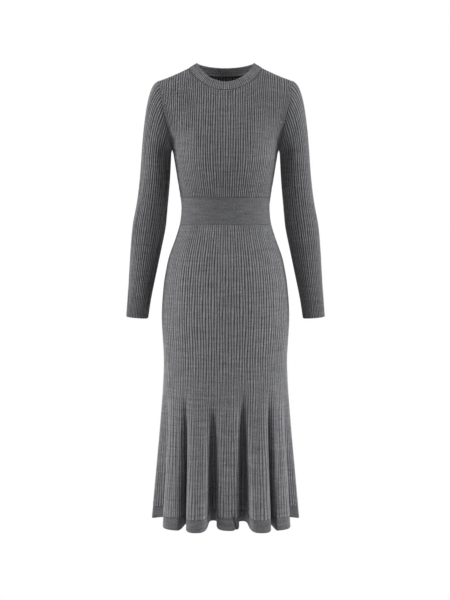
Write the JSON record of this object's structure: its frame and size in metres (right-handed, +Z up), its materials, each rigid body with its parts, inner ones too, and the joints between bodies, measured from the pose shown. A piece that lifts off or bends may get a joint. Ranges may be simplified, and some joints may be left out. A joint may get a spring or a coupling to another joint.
{
  "type": "sweater dress",
  "caption": "Long-sleeved ribbed knit sweater dress in worn form, hollow, with a crew neck, a plain waistband and a flared, folded skirt.",
  "frame": {"origin": "on the centre plane, level with the neck ends of the shoulder seams, where the wearer's shoulders hold the dress up", "axes": "+Z up, from the hem to the neck; -Y the front of the dress; +X the wearer's left"},
  "size_m": [0.5044, 0.3145, 1.1625],
  "materials": {
    "rib_knit": "matte grey marl wool rib knit with a slight fuzz",
    "plain_knit": "matte grey marl wool in a smooth fine knit",
    "neckband_knit": "matte grey marl wool, close ribs, double thickness"
  },
  "bodies": {
    "root": {"bodice_front": "rib_knit", "bodice_back": "rib_knit", "sleeve_left": "rib_knit", "sleeve_right": "rib_knit", "neckband": "neckband_knit", "waistband_front": "plain_knit", "waistband_back": "plain_knit", "skirt_front": "rib_knit", "skirt_back": "rib_knit", "hem_front": "plain_knit", "hem_back": "plain_knit"}
  },
  "joints": []
}
